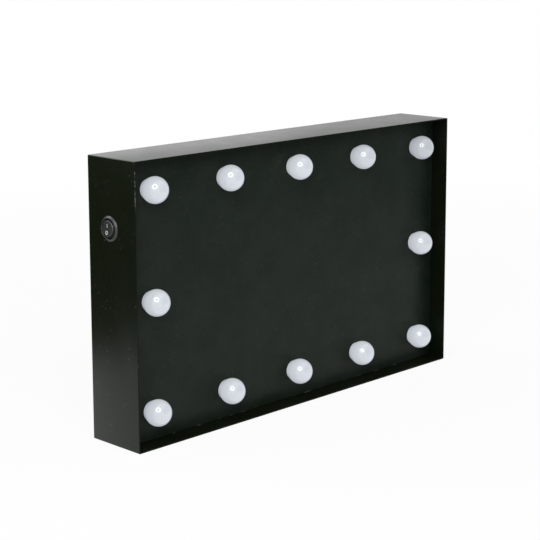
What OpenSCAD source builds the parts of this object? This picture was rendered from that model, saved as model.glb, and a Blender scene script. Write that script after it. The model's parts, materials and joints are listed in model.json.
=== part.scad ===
// Blackboard table lamp: a shallow sheet-metal case that stands on its edge, with a blackboard
// set back inside the rim, a border of milky globe bulbs, a round rocker switch in the left wall
// and a battery compartment behind a hinged door in the rear cover.
// Millimetres. +Z is up, the front faces -Y, the origin is the middle of the base.

/* [Case] */
// Width of the case from side to side
case_w = 420; // [380:1:520]
// Height of the case
case_h = 255; // [225:1:320]
// Depth of the case from its front edge to the rear cover's outer face
case_d = 64; // [60:1:90]
// Thickness of the folded case sheet
sheet_t = 1.2; // [0.8:0.1:2]
// Inside radius of the case's folded corners
fold_r = 0.4; // [0.2:0.1:1]
// Width of the rear flange that carries the cover
flange_w = 14; // [12:1:20]
// Width of the slits at the rear flange's mitred corners
mitre_slit = 0.8; // [0.4:0.1:1.5]

/* [Blackboard] */
// Depth of the blackboard's face behind the case's front edge
recess = 18; // [14:0.5:22]
// Thickness of the blackboard sheet
panel_t = 1; // [0.6:0.1:1.6]
// Depth of the flange folded back round the blackboard
panel_flange = 6; // [4:0.5:7]

/* [Bulbs] */
// Distance of the outer bulbs from the case's sides
bulb_side = 30; // [27:0.5:40]
// Distance of the outer bulbs from the case's top and base
bulb_edge = 28.5; // [27:0.5:40]
// Diameter of a globe
globe_d = 24; // [22:0.2:28]
// Distance of a globe's centre in front of the blackboard
globe_stand = 9.3; // [7:0.1:10]
// Wall of a globe
globe_wall = 1; // [0.8:0.1:1.6]
// Diameter of a globe's neck on the blackboard
neck_d = 18.4; // [18:0.2:21]
// Diameter of the spigot behind the neck
spigot_d = 16; // [14:0.2:17]
// Length of the spigot behind the blackboard
spigot_l = 7; // [5:0.5:9]

/* [Sockets] */
// Wall of a socket's cup
socket_wall = 2; // [1.2:0.1:2.5]
// Thickness of a socket's floor
socket_floor = 3; // [2:0.1:4]
// Width of a socket's flange outside its cup
socket_flange_w = 2; // [1:0.1:3]
// Thickness of a socket's flange
socket_flange_t = 1.5; // [1:0.1:2.5]
// Diameter of the light inside each globe
led_d = 5; // [4:0.1:6]
// Length of the light from its rim to the tip of its dome
led_l = 8.6; // [6:0.1:10]
// Distance between the two legs of a light
leg_pitch = 2.54; // [2.4:0.02:3]
// Thickness of a light's square legs
leg_t = 0.5; // [0.4:0.05:0.7]
// Length of the legs behind the socket
leg_tail = 3; // [2:0.1:5]
// Diameter of the wires between the lights
jumper_d = 1.2; // [0.8:0.1:1.2]

/* [Switch] */
// Distance of the switch below the case's top
switch_drop = 61.5; // [50:0.5:75]
// Distance of the switch behind the blackboard's face
switch_back = 16.5; // [16.5:0.5:24]
// Diameter of the switch's bezel
bezel_d = 22.4; // [22:0.1:26]
// Height of the bezel on the case's wall
bezel_h = 1.6; // [1.4:0.1:3]
// Diameter of the switch's barrel
barrel_d = 19.7; // [19:0.1:20.5]
// Wall of the barrel
barrel_wall = 1; // [0.6:0.05:1]
// Depth of the barrel inside the case
barrel_l = 13; // [12.5:0.1:16]
// Depth of the rocker's pivot below the case's wall
pivot_depth = 2; // [1.8:0.1:2.6]
// Height of the rocker's dished face above its pivot
rocker_rise = 4.5; // [3:0.1:5]
// Diameter of the rocker's cap
cap_d = 14.4; // [13:0.1:15.5]
// Radius of the dish in the rocker's face
dish_r = 32; // [20:1:60]
// Tilt of the rocker each way from level
rocker_tilt = 5; // [4:0.5:14]
// Diameter of the rocker's pivot stubs
stub_d = 2.4; // [1.8:0.1:2.8]
// Tilt of the contact blade each way from level
blade_tilt = 3; // [2:0.5:8]
// Length of the terminals outside the barrel
terminal_l = 7; // [5:0.5:10]

/* [Battery compartment] */
// Height of the compartment's middle above the base
battery_z = 80; // [70:1:120]
// Diameter of a cell
cell_d = 14.5; // [10:0.1:15]
// Length of a cell with its button
cell_l = 50.5; // [44:0.1:52]
// Room for a contact spring
spring_l = 6.5; // [5:0.1:9]
// Wall of the battery box
box_wall = 1.8; // [1.2:0.1:2.5]
// Width of the box's rim that is screwed to the cover
rim_w = 8; // [7:0.5:12]
// Thickness of the battery door
door_t = 1.6; // [1.4:0.1:1.8]
// Length of the door's tab below the compartment
door_tab = 8.4; // [8:0.1:12]
// Radius of the door's hinge knuckle
knuckle_r = 2.6; // [2.4:0.1:3]
// Diameter of the hinge pins
pin_d = 1.8; // [1.4:0.1:2]
// Thickness of the ears that hold the pins
ear_t = 4; // [3:0.1:6]

/* [Rear cover] */
// Thickness of the rear cover
cover_t = 1; // [0.6:0.1:1.2]
// Distance of the cover's edge inside the case's outline
cover_inset = 1.5; // [0.5:0.1:3]
// Radius of the cover's corners
cover_r = 4; // [2:0.5:8]
// Diameter of a cover screw's shank
screw_d = 2.9; // [2.5:0.1:3.5]
// Length of a cover screw's shank
screw_l = 6; // [5:0.5:9]
// Diameter of a cover screw's head
screw_head_d = 5.6; // [5:0.1:6.6]
// Height of a cover screw's head
screw_head_h = 1.8; // [1.2:0.1:2.4]
// Distance of the end screws from the case's corners
screw_corner = 25; // [20:1:60]

/* [Hidden] */
$fn = 64;
// Clearances: a snug seat, a hole round a shank, a door in its cut-out, a running pin, and the
// blackboard's corners inside the case's
snug = 0.1;
loose = 0.2;
door_gap = 0.4;
running = 0.08;
panel_corner_gap = 0.5;
// Overlap of a cutting shape past the face it cuts
cut = 1;

// Planes from front to back
front_y = -case_d / 2;
panel_y = front_y + recess;
back_y = case_d / 2;
cover_y = back_y - cover_t;
flange_y = cover_y - sheet_t;

// Bulbs stand on the border of a grid of columns and rows
bulb_columns = 5;
bulb_rows = 3;
column_pitch = (case_w - 2 * bulb_side) / (bulb_columns - 1);
row_pitch = (case_h - 2 * bulb_edge) / (bulb_rows - 1);
function on_border(c, r) = r == 0 || r == bulb_rows - 1 || c == 0 || c == bulb_columns - 1;
bulbs = [
    for (r = [0 : bulb_rows - 1])
        for (c = [0 : bulb_columns - 1])
            if (on_border(c, r))
                [bulb_side - case_w / 2 + c * column_pitch, case_h - bulb_edge - r * row_pitch]
];
function two_digits(n) = n < 10 ? str("0", n) : str(n);
function bulb_node(kind, i) = str("bulb_", kind, "_", two_digits(i + 1));

// Angle, seen from a circle's centre, at which a line from a point outside touches the circle
function touch_angle(point, center, r) =
    let (d = point - center) atan2(d[1], d[0]) + acos(min(1, r / norm(d)));

// Globe, socket and light, measured from the blackboard's face, positive to the front
globe_r = globe_d / 2;
neck_lean = touch_angle([neck_d / 2, 0], [0, globe_stand], globe_r);
spigot_r = spigot_d / 2;
spigot_end = -panel_t - spigot_l;
socket_seat = spigot_end - loose;
socket_back = socket_seat - socket_floor;
cup_r = spigot_r + snug + socket_wall;
led_r = led_d / 2;
led_rim_w = 0.4;
led_rim_h = 1;
leg_root = 0.5;
leg_hole_d = 1;
leg_offset = leg_pitch / 2 / sqrt(2);
leg_end_y = panel_y - socket_back + leg_tail;
jumper_y = leg_end_y - leg_tail / 3;

// The red leg of each light is the outer one and the black leg the inner one
function side_of(v) = v < 0 ? -1 : 1;
function leg(b, polarity) = [
    b[0] + polarity * side_of(b[0]) * leg_offset,
    b[1] + polarity * side_of(b[1] - case_h / 2) * leg_offset
];
red = 1;
black = -1;

// Switch, measured outward from the case's left wall
switch_y = panel_y + switch_back;
switch_z = case_h - switch_drop;
barrel_r = barrel_d / 2;
opening_r = barrel_r - barrel_wall;
rocker_gap = 0.4;
rocker_r = opening_r - rocker_gap;
bezel_edge = 0.3;
bezel_lip_r = 0.6;
barrel_floor = 2;
floor_h = barrel_floor - barrel_l;
stub_end = barrel_r - snug;
post_r = 2.2;
post_l = 4.5;
post_bore_r = 1.3;
post_bore_top = 1;
rocker_skirt = 1.5;
rocker_collar = 0.8;
rocker_shell = 1.9;
plunger_r = post_bore_r - snug;
plunger_top = -2.8;
plunger_tip = -6.6;
coil_wire = 0.35;
coil_turns = 5;
blade_l = 12;
blade_w = 4;
blade_t = 0.4;
blade_gap = 0.2;
blade_h = plunger_tip - blade_gap - blade_t;
blade_rib_r = 0.35;
contact_reach = 5;
contact_gap = 0.15;
contact_h = blade_h - contact_reach * tan(blade_tilt) - contact_gap;
terminal_w = 4.8;
terminal_t = 0.8;
terminal_end = -barrel_l - terminal_l;
slot_gap = 0.05;
wing_w = 5;
wing_l = 7;
wing_rise = 1;
wing_foot = 0.25;

// Battery compartment
cells = 3;
cell_gap = 0.7;
cell_pitch = cell_d + cell_gap;
cell_button_d = 5.5;
cell_button_h = 1;
contact_t = 0.5;
contact_w = 11;
spring_wire = 0.8;
spring_tip_r = 2.75;
spring_turns = 4;
tab_w = 3;
tab_l = 4;
box_l = cell_l + spring_l + 2 * contact_t;
box_h = cells * cell_pitch;
door_in_y = back_y - door_t;
rim_y = door_in_y - snug;
cell_slack = 1;
floor_y = rim_y - cell_d - cell_slack;
cell_y = floor_y + cell_d / 2 + loose;
ledge_t = 1.5;
rib_h = 3;
rib_t = 1.5;
rib_inset = 12;
door_margin = 2;
door_w = box_l + 2 * door_margin;
body_top = battery_z + box_h / 2 + box_wall;
body_bottom = battery_z - box_h / 2 - box_wall;
pivot_y = back_y - knuckle_r;
pivot_z = body_top + door_gap + knuckle_r;
hinge_room = 0.6;
door_bottom = body_bottom - door_tab;
cutout_half = door_w / 2 + door_gap;
cutout_bottom = door_bottom - door_gap;
cutout_top = pivot_z + knuckle_r + hinge_room;
rim_half = cutout_half + rim_w;
rim_bottom = cutout_bottom - rim_w;
rim_top = cutout_top + rim_w;
ear_r = 3;
pin_end_gap = 0.6;
pin_l = ear_t - pin_end_gap;
door_screw_d = 2.4;
door_screw_l = 8;
door_screw_head_d = 5;
door_screw_head_h = 1.3;
door_screw_edge = 4;
door_screw_z = door_bottom + door_screw_edge;
door_screw_room = 0.4;
boss_r = 3.2;
boss_l = 8;
box_screw_x = 26;
box_screws = [
    for (x = [-box_screw_x, box_screw_x])
        for (z = [(rim_bottom + cutout_bottom) / 2, (rim_top + cutout_top) / 2])
            [x, z]
];
function cell_z(k) = battery_z + ((cells - 1) / 2 - k) * cell_pitch;
// A cell's button faces left on even rows and right on odd ones
function cell_way(k) = k % 2 == 0 ? -1 : 1;

// Cover screws stand on the middle of the rear flange
flange_mid_x = case_w / 2 - flange_w / 2;
flange_mid_z = flange_w / 2;
screw_row = [screw_corner - case_w / 2, 0, case_w / 2 - screw_corner];
cover_screws = concat(
    [for (x = screw_row) [x, flange_mid_z]],
    [for (x = screw_row) [x, case_h - flange_mid_z]],
    [for (x = [-flange_mid_x, flange_mid_x]) [x, case_h / 2]]
);
screw_head_bevel = 0.85;
cross_w = 0.7;
cross_l = 3;
cross_depth = 0.9;

// Leads inside the case: each end lies on its terminal, the points between are chosen by eye
lead_d = 1.6;
lead_sides = 8;
lead_steps = 5;
tab_end_x = box_l / 2 + box_wall + tab_l;
terminal_x = -case_w / 2 - terminal_end;
plus_tab = [-tab_end_x, cell_y, cell_z(0)];
minus_tab = [tab_end_x, cell_y, cell_z(cells - 1)];
common_end = [terminal_x, switch_y, switch_z];
load_end = [terminal_x, switch_y, switch_z - contact_reach];
left_bulb = bulbs[bulb_columns];
right_of_middle = bulbs[len(bulbs) - 2];
red_leg = [leg(left_bulb, red)[0], leg_end_y, leg(left_bulb, red)[1]];
black_leg = [leg(right_of_middle, black)[0], leg_end_y, leg(right_of_middle, black)[1]];
battery_red_route = [
    plus_tab,
    plus_tab + [-5, 0, 0],
    plus_tab + [-17, 0, 2],
    plus_tab + [-40, -1, 17],
    plus_tab + [-70, -3, 45],
    common_end + [55, 12, -28],
    common_end + [30, 7, -11],
    common_end + [15, 2, -2],
    common_end + [6, 0, 0],
    common_end
];
battery_black_route = [
    minus_tab,
    minus_tab + [5, 0, 0],
    minus_tab + [16, -1, -2],
    minus_tab + [30, -4, -9],
    black_leg + [-11, 15, 16],
    black_leg + [-3, 11, 6],
    black_leg + [0, 6, 0],
    black_leg
];
switch_red_route = [
    load_end,
    load_end + [6, 0, 0],
    load_end + [13, 2, -4],
    load_end + [18, 5, -14],
    red_leg + [9, 10, 30],
    red_leg + [6, 11, 14],
    red_leg + [1, 9, 3],
    red_leg + [0, 5, 0],
    red_leg
];

black_paint = "#1d201c";
black_board = "#262b27";
milky_white = "#dfe1ea";
black_plastic = "#18191a";
grey_plastic = "#3a3c3e";
clear_plastic = "#f3f0d8";
bare_metal = "#b9bcc0";
brass_metal = "#c4a459";
red_sheath = "#b3261e";
black_sheath = "#202022";

// Rectangle with round corners, centred
module round_rect(w, h, r) {
    square([w - 2 * r, h], center = true);
    square([w, h - 2 * r], center = true);
    for (x = [-1, 1])
        for (z = [-1, 1])
            translate([x * (w / 2 - r), z * (h / 2 - r)])
                circle(r);
}

// Upright plate with the outline of its child in X and Z, from y0 back to y1
module plate(y0, y1) {
    translate([0, y1, 0])
        rotate([90, 0, 0])
            linear_extrude(y1 - y0)
                children();
}

// Box between two corners
module block(low, high) {
    translate(low)
        cube(high - low);
}

// Case outline drawn in by a distance
module case_outline(inset, r) {
    translate([0, case_h / 2])
        round_rect(case_w - 2 * inset, case_h - 2 * inset, r);
}

// Child's local Z points out of the blackboard at one bulb
module at_bulb(b) {
    translate([b[0], panel_y, b[1]])
        rotate([90, 0, 0])
            children();
}

// Child's local Z points out of the left wall, local X points up
module at_switch() {
    translate([-case_w / 2, switch_y, switch_z])
        rotate([0, -90, 0])
            children();
}

// Child's local Z points out of the back at each place
module at_back(places) {
    for (p = places)
        translate([p[0], back_y, p[1]])
            rotate([-90, 0, 0])
                children();
}

function unit(v) = v / norm(v);
function tangent(p, i) = unit(p[min(i + 1, len(p) - 1)] - p[max(i - 1, 0)]);
function square_to(v, t) = unit(v - (v * t) * t);
function start_normal(t) = square_to(abs(t[2]) < 0.8 ? [0, 0, 1] : [1, 0, 0], t);
function normals(p, n, i = 0) =
    i == len(p) ? [] : let (m = square_to(n, tangent(p, i))) concat([m], normals(p, m, i + 1));

// Points on a smooth curve through the route's points, with its first and last spans straight
function curve_at(a, b, c, d, t) =
    (2 * b + (c - a) * t + (2 * a - 5 * b + 4 * c - d) * t * t + (3 * b - a - 3 * c + d) * t * t * t) / 2;
function smooth(p, steps) = concat(
    [p[0]],
    [
        for (i = [1 : len(p) - 3])
            for (s = [0 : steps - 1])
                curve_at(p[i - 1], p[i], p[i + 1], p[i + 2], s / steps)
    ],
    [p[len(p) - 2], p[len(p) - 1]]
);

// Round tube along points, with flat ends
module tube(p, d, sides) {
    n = normals(p, start_normal(tangent(p, 0)));
    rings = [
        for (i = [0 : len(p) - 1])
            for (k = [0 : sides - 1])
                let (a = 360 * k / sides)
                    p[i] + d / 2 * (cos(a) * n[i] + sin(a) * cross(tangent(p, i), n[i]))
    ];
    last = (len(p) - 1) * sides;
    skin = [
        for (i = [0 : len(p) - 2])
            for (k = [0 : sides - 1])
                let (a = i * sides + k, b = i * sides + (k + 1) % sides)
                    each [[a, a + sides, b], [b, a + sides, b + sides]]
    ];
    near_cap = [for (k = [1 : sides - 2]) [0, k, k + 1]];
    far_cap = [for (k = [1 : sides - 2]) [last, last + k + 1, last + k]];
    polyhedron(rings, concat(skin, near_cap, far_cap));
}

// Coil spring on the local Z axis, wound from radius r0 at z0 to radius r1 at z1
module coil(r0, r1, z0, z1, wire_d, turns) {
    rings = 8 * turns;
    points = [
        for (i = [0 : rings])
            let (t = i / rings, r = r0 + (r1 - r0) * t)
                [r * cos(360 * turns * t), r * sin(360 * turns * t), z0 + (z1 - z0) * t]
    ];
    tube(points, wire_d, 6);
}

// Cross recess in a screw head whose top is at the given height
module cross_recess(top) {
    for (turn = [0, 90])
        rotate(turn)
            translate([0, 0, top])
                cube([cross_l, cross_w, 2 * cross_depth], center = true);
}

// Pan-head screw with its head on local Z = 0
module pan_screw() {
    difference() {
        union() {
            cylinder(d = screw_head_d, h = screw_head_h / 2);
            translate([0, 0, screw_head_h / 2])
                cylinder(d1 = screw_head_d, d2 = screw_head_d - 2 * screw_head_bevel, h = screw_head_h / 2);
            translate([0, 0, -screw_l])
                cylinder(d = screw_d, h = screw_l + screw_head_h / 2);
        }
        cross_recess(screw_head_h);
    }
}

// Folded band with a rear flange
module case_frame() {
    color(black_paint)
        difference() {
            union() {
                plate(front_y, cover_y)
                    difference() {
                        case_outline(0, fold_r + sheet_t);
                        case_outline(sheet_t, fold_r);
                    }
                plate(flange_y, cover_y)
                    difference() {
                        case_outline(sheet_t / 2, fold_r + sheet_t / 2);
                        case_outline(flange_w, fold_r);
                    }
            }
            mitre_slits();
            at_switch()
                translate([0, 0, -sheet_t - cut])
                    cylinder(r = barrel_r + loose, h = sheet_t + 2 * cut);
            at_back(cover_screws)
                translate([0, 0, -cover_t - sheet_t - cut])
                    cylinder(d = screw_d + snug, h = sheet_t + 2 * cut);
        }
}

// Slits where the rear flanges meet at the corners
module mitre_slits() {
    slit_l = sqrt(2) * (flange_w - sheet_t - fold_r);
    for (x = [-1, 1])
        for (z = [-1, 1])
            translate([
                x * (case_w / 2 - flange_w),
                flange_y + sheet_t / 2,
                case_h / 2 + z * (case_h / 2 - flange_w)
            ])
                rotate([0, -x * z * 45, 0])
                    translate([x * slit_l / 2, 0, 0])
                        cube([slit_l, 2 * sheet_t, mitre_slit], center = true);
}

// Shallow tray with a hole for each bulb
module blackboard_panel() {
    corner_r = fold_r + panel_t + panel_corner_gap;
    color(black_board)
        difference() {
            plate(panel_y, panel_y + panel_flange)
                case_outline(sheet_t, corner_r);
            plate(panel_y + panel_t, panel_y + panel_flange + cut)
                case_outline(sheet_t + panel_t, corner_r - panel_t);
            for (b = bulbs)
                at_bulb(b)
                    translate([0, 0, -panel_t - cut])
                        cylinder(r = spigot_r + loose, h = panel_t + 2 * cut);
            at_switch()
                translate([0, 0, -barrel_l])
                    cylinder(r = barrel_r + loose, h = barrel_l);
        }
}

// Milky globe with a tapered neck that seats on the blackboard and a spigot through it
module bulb_globe(b) {
    color(milky_white)
        at_bulb(b)
            rotate_extrude()
                difference() {
                    union() {
                        globe_section(globe_r, 0);
                        translate([0, spigot_end])
                            square([spigot_r, globe_stand - spigot_end]);
                    }
                    globe_section(globe_r - globe_wall, globe_wall);
                    translate([0, spigot_end - cut])
                        square([spigot_r - globe_wall, globe_stand - spigot_end + cut]);
                }
}

// Half section of a globe and its taper, cut off at a height above the blackboard
module globe_section(r, foot) {
    touch = [r * cos(neck_lean), globe_stand + r * sin(neck_lean)];
    foot_r = touch[0] + (touch[1] - foot) * tan(neck_lean);
    intersection() {
        union() {
            translate([0, globe_stand])
                circle(r);
            polygon([[0, foot], [foot_r, foot], touch, [0, touch[1]]]);
        }
        translate([0, foot])
            square([r, globe_stand + r]);
    }
}

// Cup behind the blackboard that the spigot goes into
module bulb_socket(b) {
    color(black_plastic)
        at_bulb(b)
            difference() {
                union() {
                    translate([0, 0, socket_back])
                        cylinder(r = cup_r, h = -panel_t - socket_back);
                    translate([0, 0, -panel_t - socket_flange_t])
                        cylinder(r = cup_r + socket_flange_w, h = socket_flange_t);
                }
                translate([0, 0, socket_seat])
                    cylinder(r = spigot_r + snug, h = cut - socket_seat);
                for (polarity = [red, black])
                    translate(leg_place(b, polarity, socket_back - cut))
                        cylinder(d = leg_hole_d, h = socket_floor + 2 * cut);
            }
}

// Place of a leg in a bulb's own frame
function leg_place(b, polarity, h) = concat(leg(b, polarity) - b, [h]);

// Light with a domed body, a rim and two legs
module bulb_led(b) {
    leg_l = leg_tail + socket_floor;
    dome_h = socket_seat + led_l - led_r;
    color(clear_plastic)
        at_bulb(b) {
            translate([0, 0, socket_seat])
                cylinder(r = led_r + led_rim_w, h = led_rim_h);
            translate([0, 0, socket_seat])
                cylinder(r = led_r, h = led_l - led_r);
            translate([0, 0, dome_h])
                sphere(led_r);
            for (polarity = [red, black])
                translate(leg_place(b, polarity, socket_seat + (leg_root - leg_l) / 2))
                    cube([leg_t, leg_t, leg_l + leg_root], center = true);
        }
}

// Straight wires from leg to leg round the border
module led_jumpers(polarity, sheath) {
    color(sheath) {
        for (a = bulbs)
            for (b = bulbs) {
                if (a[1] == b[1] && abs(b[0] - a[0] - column_pitch) < leg_pitch)
                    jumper_across(leg(a, polarity), leg(b, polarity));
                if (a[0] == b[0] && abs(b[1] - a[1] - row_pitch) < leg_pitch)
                    jumper_up(leg(a, polarity), leg(b, polarity));
            }
    }
}

module jumper_across(a, b) {
    translate([a[0] + leg_t / 2, jumper_y, a[1]])
        rotate([0, 90, 0])
            cylinder(d = jumper_d, h = b[0] - a[0] - leg_t);
}

module jumper_up(a, b) {
    translate([a[0], jumper_y, a[1] + leg_t / 2])
        cylinder(d = jumper_d, h = b[1] - a[1] - leg_t);
}

// Bezel, barrel and snap wings of the switch
module switch_housing() {
    color(black_plastic)
        at_switch()
            difference() {
                union() {
                    rotate_extrude()
                        bezel_outline();
                    translate([0, 0, -barrel_l])
                        cylinder(r = barrel_r, h = barrel_l + bezel_h / 2);
                    for (way = [-1, 1])
                        snap_wing(way);
                }
                difference() {
                    translate([0, 0, floor_h])
                        cylinder(r = opening_r, h = bezel_h + cut - floor_h);
                    translate([contact_reach - terminal_t / 2, -blade_w / 2, floor_h - cut])
                        cube([terminal_t, blade_w, contact_h - pivot_depth - floor_h + cut]);
                }
                translate([0, barrel_d, -pivot_depth])
                    rotate([90, 0, 0])
                        cylinder(d = stub_d + 2 * running, h = 2 * barrel_d);
                for (x = [0, -contact_reach])
                    terminal_slot(x);
            }
}

// Half section of the bezel: a low edge, a slope and a round lip at the opening
module bezel_outline() {
    rim = [bezel_d / 2, bezel_edge];
    lip = [opening_r + bezel_lip_r, bezel_h - bezel_lip_r];
    slope = touch_angle(rim, lip, bezel_lip_r);
    translate(lip)
        circle(bezel_lip_r);
    polygon([
        [opening_r, 0],
        [rim[0], 0],
        rim,
        lip + bezel_lip_r * [cos(slope), sin(slope)],
        lip,
        [opening_r, lip[1]]
    ]);
}

module snap_wing(way) {
    shoulder = -sheet_t - loose;
    root = barrel_r - barrel_wall / 2;
    translate([0, wing_w / 2, 0])
        rotate([90, 0, 0])
            linear_extrude(wing_w)
                polygon([
                    [way * root, shoulder],
                    [way * (barrel_r + wing_rise), shoulder],
                    [way * (barrel_r + wing_foot), shoulder - wing_l],
                    [way * root, shoulder - wing_l]
                ]);
}

module terminal_slot(x) {
    translate([
        x - terminal_t / 2 - slot_gap,
        -terminal_w / 2 - slot_gap,
        -barrel_l - cut
    ])
        cube([terminal_t + 2 * slot_gap, terminal_w + 2 * slot_gap, barrel_floor + 2 * cut]);
}

// Child turned with the rocker, which rests with its upper side pressed in
module at_rocker() {
    at_switch()
        translate([0, 0, -pivot_depth])
            rotate([0, rocker_tilt, 0])
                children();
}

// Round rocker: a cap with a dished face on a skirt that fills the opening, pivot stubs and a post
// for the plunger
module switch_rocker() {
    color(grey_plastic)
        at_rocker()
            difference() {
                union() {
                    intersection() {
                        sphere(rocker_r);
                        translate([0, 0, -rocker_skirt])
                            cylinder(r = rocker_r + cut, h = rocker_skirt + rocker_collar);
                    }
                    cylinder(d = cap_d, h = rocker_rise + dish_r);
                    translate([0, stub_end, 0])
                        rotate([90, 0, 0])
                            cylinder(d = stub_d, h = 2 * stub_end);
                    translate([0, 0, -post_l])
                        cylinder(r = post_r, h = post_l);
                }
                translate([0, rocker_r + cut, rocker_rise + dish_r])
                    rotate([90, 0, 0])
                        cylinder(r = dish_r, h = 2 * (rocker_r + cut));
                rocker_hollow();
                translate([0, 0, -post_l - cut])
                    cylinder(r = post_bore_r, h = post_l + cut + post_bore_top);
            }
}

// Hollow under the rocker's face, round the post
module rocker_hollow() {
    hollow_r = cap_d / 2 - rocker_shell;
    difference() {
        translate([0, 0, -rocker_skirt - cut])
            cylinder(r = hollow_r, h = rocker_skirt + cut + rocker_rise - rocker_shell);
        translate([0, 0, -post_l - cut])
            cylinder(r = post_r, h = post_l + 2 * cut + rocker_rise);
        translate([0, hollow_r, 0])
            rotate([90, 0, 0])
                cylinder(d = stub_d, h = 2 * hollow_r);
    }
}

// Round-nosed pin that slides in the rocker's post
module switch_plunger() {
    color(brass_metal)
        at_rocker() {
            translate([0, 0, plunger_tip + plunger_r])
                cylinder(r = plunger_r, h = plunger_top - plunger_tip - plunger_r);
            translate([0, 0, plunger_tip + plunger_r])
                sphere(plunger_r);
        }
}

// Coil behind the plunger
module plunger_spring() {
    coil_r = plunger_r - coil_wire;
    end_gap = coil_wire / 2 + snug;
    color(bare_metal)
        at_rocker()
            coil(coil_r, coil_r, plunger_top + end_gap, post_bore_top - end_gap, coil_wire, coil_turns);
}

// See-saw blade under the plunger, with its lower end down while the switch is on and a round
// rib across its middle that rocks on the common terminal
module contact_blade() {
    color(brass_metal)
        at_switch()
            translate([0, 0, blade_h - pivot_depth])
                rotate([0, -blade_tilt, 0]) {
                    translate([-blade_l / 2, -blade_w / 2, 0])
                        cube([blade_l, blade_w, blade_t]);
                    translate([0, blade_w / 2, 0])
                        rotate([90, 0, 0])
                            cylinder(r = blade_rib_r, h = blade_w);
                }
}

// Common terminal under the blade's middle and load terminal under its lower end
module switch_terminals() {
    color(brass_metal)
        at_switch() {
            terminal(0, blade_h - blade_rib_r - contact_gap - pivot_depth);
            terminal(-contact_reach, contact_h - pivot_depth);
        }
}

module terminal(x, top) {
    translate([x - terminal_t / 2, -terminal_w / 2, terminal_end])
        cube([terminal_t, terminal_w, top - terminal_end]);
}

// Rear cover with the battery cut-out and screw holes
module back_cover() {
    color(black_paint)
        difference() {
            plate(cover_y, back_y)
                case_outline(cover_inset, cover_r);
            battery_cutout(cover_y - cut, back_y + cut);
            at_back(concat(cover_screws, box_screws))
                translate([0, 0, -cover_t - cut])
                    cylinder(d = screw_d + 2 * loose, h = cover_t + 2 * cut);
        }
}

module battery_cutout(y0, y1) {
    block([-cutout_half, y0, cutout_bottom], [cutout_half, y1, cutout_top]);
}

module back_cover_screws() {
    color(bare_metal)
        at_back(cover_screws)
            pan_screw();
}

module battery_box_screws() {
    color(bare_metal)
        at_back(box_screws)
            pan_screw();
}

// Tray for the cells with a stepped rim, hinge ears and screw bosses
module battery_box() {
    body_half = box_l / 2 + box_wall;
    color(black_plastic)
        difference() {
            union() {
                block([-body_half, floor_y - box_wall, body_bottom], [body_half, rim_y, body_top]);
                block([-rim_half, rim_y - ledge_t, rim_bottom], [rim_half, rim_y, rim_top]);
                difference() {
                    block([-rim_half, rim_y - ledge_t, rim_bottom], [rim_half, cover_y, rim_top]);
                    battery_cutout(rim_y, cover_y + cut);
                }
                for (way = [-1, 1])
                    hinge_ear(way);
                at_back(box_screws)
                    translate([0, 0, -screw_l - ledge_t])
                        cylinder(r = boss_r, h = screw_l + ledge_t - cover_t);
                at_back([[0, door_screw_z]])
                    translate([0, 0, rim_y - back_y - boss_l])
                        cylinder(r = boss_r, h = boss_l);
                block(
                    [-boss_r / 2, rim_y - boss_l, door_screw_z],
                    [boss_r / 2, rim_y, body_bottom + box_wall / 2]
                );
            }
            cell_room();
            block([-cutout_half, pivot_y - ear_r - cut, body_top], [cutout_half, cover_y + cut, cutout_top]);
            translate([-rim_half - cut, pivot_y, pivot_z])
                rotate([0, 90, 0])
                    cylinder(d = pin_d + 2 * running, h = 2 * (rim_half + cut));
            at_back(box_screws)
                translate([0, 0, -screw_l - snug])
                    cylinder(d = screw_d + snug, h = screw_l + cut);
            at_back([[0, door_screw_z]])
                translate([0, 0, -door_screw_l - snug])
                    cylinder(d = door_screw_d + 2 * door_screw_room, h = door_screw_l + cut);
            contact_slot(-1, cell_z(0));
            contact_slot(1, cell_z(cells - 1));
        }
}

// Room for the cells, with low ribs between them left on the floor
module cell_room() {
    difference() {
        block(
            [-box_l / 2, floor_y, battery_z - box_h / 2],
            [box_l / 2, back_y + cut, battery_z + box_h / 2]
        );
        for (k = [1 : cells - 1])
            block(
                [rib_inset - box_l / 2, floor_y - cut, cell_z(k) + cell_pitch / 2 - rib_t / 2],
                [box_l / 2 - rib_inset, floor_y + rib_h, cell_z(k) + cell_pitch / 2 + rib_t / 2]
            );
    }
}

module hinge_ear(way) {
    near = way * cutout_half;
    far = way * (cutout_half + ear_t);
    block(
        [min(near, far), pivot_y - ear_r, pivot_z - ear_r],
        [max(near, far), cover_y, pivot_z + ear_r]
    );
}

module contact_slot(way, z) {
    wall_mid = way * (box_l + box_wall) / 2;
    translate([wall_mid, cell_y, z])
        cube([box_wall + cut, tab_w + 2 * slot_gap, contact_t + 2 * slot_gap], center = true);
}

// Flush door with a round knuckle and two pins along its upper edge
module battery_door() {
    color(black_plastic)
        difference() {
            union() {
                block([-door_w / 2, door_in_y, door_bottom], [door_w / 2, back_y, pivot_z]);
                translate([-door_w / 2, pivot_y, pivot_z])
                    rotate([0, 90, 0])
                        cylinder(r = knuckle_r, h = door_w);
                translate([-door_w / 2 - door_gap - pin_l, pivot_y, pivot_z])
                    rotate([0, 90, 0])
                        cylinder(d = pin_d, h = door_w + 2 * (door_gap + pin_l));
            }
            at_back([[0, door_screw_z]]) {
                translate([0, 0, -door_t - cut])
                    cylinder(d = door_screw_d + snug, h = door_t + 2 * cut);
                countersink(snug);
            }
        }
}

// Cone of a countersunk head, widened by a gap
module countersink(gap) {
    translate([0, 0, -door_screw_head_h])
        cylinder(d1 = door_screw_d + gap, d2 = door_screw_head_d + gap, h = door_screw_head_h);
}

// Countersunk screw that keeps the door shut
module door_screw() {
    color(bare_metal)
        at_back([[0, door_screw_z]])
            difference() {
                union() {
                    countersink(0);
                    translate([0, 0, -door_screw_l])
                        cylinder(d = door_screw_d, h = door_screw_l);
                }
                cross_recess(0);
            }
}

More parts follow.
